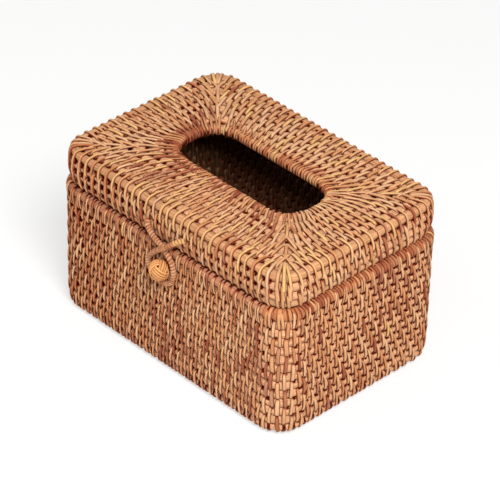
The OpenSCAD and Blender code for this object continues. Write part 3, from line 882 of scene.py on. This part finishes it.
def hingeMesh(name, x, look):
    y, z = look["y"], look["z"]
    rod(name + "_rod.cane", (x - look["rodHalf"], y, z), (x + look["rodHalf"], y, z), look["rod"], (0, 0, 1),
        "base", tones["deep"], name + "_rod")
    spread = (np.arange(look["strips"]) - (look["strips"] - 1) / 2) * look["step"]
    for row, part, body, middles in (("rim_row", "_base_tie", "base", (-look["eyeStep"], look["eyeStep"])),
                                     ("lid_row_1", "_lid_tie", "lid", (0.0,))):
        xs = x + np.concatenate([spread + middle for middle in middles])
        count = len(xs)
        ends = [(y - look["inset"][row], hoops[row].height), (y, z)]
        centres = np.stack([np.column_stack([xs, np.tile(end, (count, 1))]) for end in ends], 1)
        radii = [hoops[row].cane + look["lift"], look["rod"] + look["rodLift"]]
        tangent = np.tile([-1.0, 0, 0], (count, 1))
        path, normals, dives, _ = wrapPath(centres, radii, tangent, 0.0)
        width, thick = (np.full(dives.shape, look[key]) for key in ("width", "thick"))
        tint = (tones["deep"] * (1 + jitter(count, look["spread"]))[:, None])[:, None]
        piece = ribbons(name + part + ".strips", path, normals, width, thick, tint, dives * 0, body)
        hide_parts(name + part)


for name, x in zip(("left_hinge", "right_hinge"), hingeLook["middles"]):
    hingeMesh(name, x, hingeLook)

# The stem and the tails keep the frame's shapes, under fine turns of cane, with painted shade in the grooves
# between the turns; turn is half a turn's width in m
woundLook = dict(rough=0.5, shine=0.06, grain=(900.0, 900.0, 900.0), detail=3.0, turn=0.0007, groove=0.75,
                 cloud=0.5, bump=0.6, bumpDepth=0.0003, grainBump=0.2)


def woundFinish(name, tone, look):
    finish = Finish(name, tuple(tone), look["rough"], look["shine"])
    place = finish.out(finish.node("ShaderNodeTexCoord", {}, {}), "Object")
    grain = finish.noise(place, look["grain"], look["detail"])
    depth = finish.out(finish.node("ShaderNodeSeparateXYZ", {}, {0: place}), 1)
    ridge = finish.maths("PINGPONG", depth, look["turn"]) * (1 / look["turn"])
    # Painted shade in the grooves between the turns
    shaded = finish.mix("MIX", ridge * look["groove"], tuple(tone), tuple(tones["edge"]))
    finish.use("Base Color", finish.mix("MIX", grain * look["cloud"], shaded, tuple(tones["deep"])))
    finish.use("Normal", finish.bump(ridge * -1 + grain * look["grainBump"], look["bump"], look["bumpDepth"]))
    return finish.material


wound = woundFinish("wound cane", tones["tan"], woundLook)
for piece in bpy.data.objects:
    if piece.name in ("ball_stem", "loop_tails"):
        piece.data.materials.clear()
        piece.data.materials.append(wound)
print("closure and hinges made")

# Plain room: a pale floor that glows a little for the camera alone, and lamps by name, spot, size and watts
roomLook = dict(floor=3.0, floorDrop=0.0002, floorColour=(0.86, 0.86, 0.85, 1.0), floorRough=0.9,
                floorShine=0.08, glow=0.6, white=(1.0, 1.0, 1.0, 1.0), worldLight=0.44, aim=(0, 0, 0.06),
                lamps=[("key", (1.0, -0.6, 1.4), 0.7, 34.0), ("fill", (-1.2, -1.2, 1.2), 1.6, 9.0)])


def makeFloor(look):
    finish = Finish("pale floor", look["floorColour"], look["floorRough"], look["floorShine"])
    half = look["floor"]
    mesh = bpy.data.meshes.new("floor")
    corners = [(-half, -half, 0), (half, -half, 0), (half, half, 0), (-half, half, 0)]
    mesh.from_pydata(corners, [], [(0, 1, 2, 3)])
    mesh.materials.append(finish.material)
    floor = bpy.data.objects.new("floor", mesh)
    floor.location.z = -look["floorDrop"]
    bpy.context.collection.objects.link(floor)
    seen = finish.out(finish.node("ShaderNodeLightPath", {}, {}), "Is Camera Ray")
    glow = finish.node("ShaderNodeEmission", {}, {0: look["white"], 1: 1.0})
    blend = finish.node("ShaderNodeMixShader", {},
                        {0: seen * look["glow"], 1: finish.out(finish.shader), 2: finish.out(glow)})
    finish.feed(finish.output, "Surface", finish.out(blend))


def makeLight(look):
    world = bpy.data.worlds.new("room")
    bpy.context.scene.world = world
    world.use_nodes = True
    sky = Nodes(world.node_tree)
    seen = sky.out(sky.node("ShaderNodeLightPath", {}, {}), "Is Camera Ray")
    strength = sky.out(sky.node("ShaderNodeMapRange", {}, {0: seen, 3: look["worldLight"], 4: 1.0}))
    light = sky.node("ShaderNodeBackground", {}, {0: look["white"], 1: strength})
    sky.node("ShaderNodeOutputWorld", {}, {"Surface": sky.out(light)})
    for name, spot, size, power in look["lamps"]:
        lamp = bpy.data.lights.new(name, "AREA")
        lamp.shape, lamp.size, lamp.energy = "DISK", size, power
        holder = bpy.data.objects.new(name, lamp)
        holder.location = spot
        holder.rotation_euler = (Vector(look["aim"]) - Vector(spot)).to_track_quat("-Z", "Y").to_euler()
        bpy.context.collection.objects.link(holder)


makeFloor(roomLook)
makeLight(roomLook)
bpy.context.scene.view_settings.view_transform = "Standard"
print("scene ready")
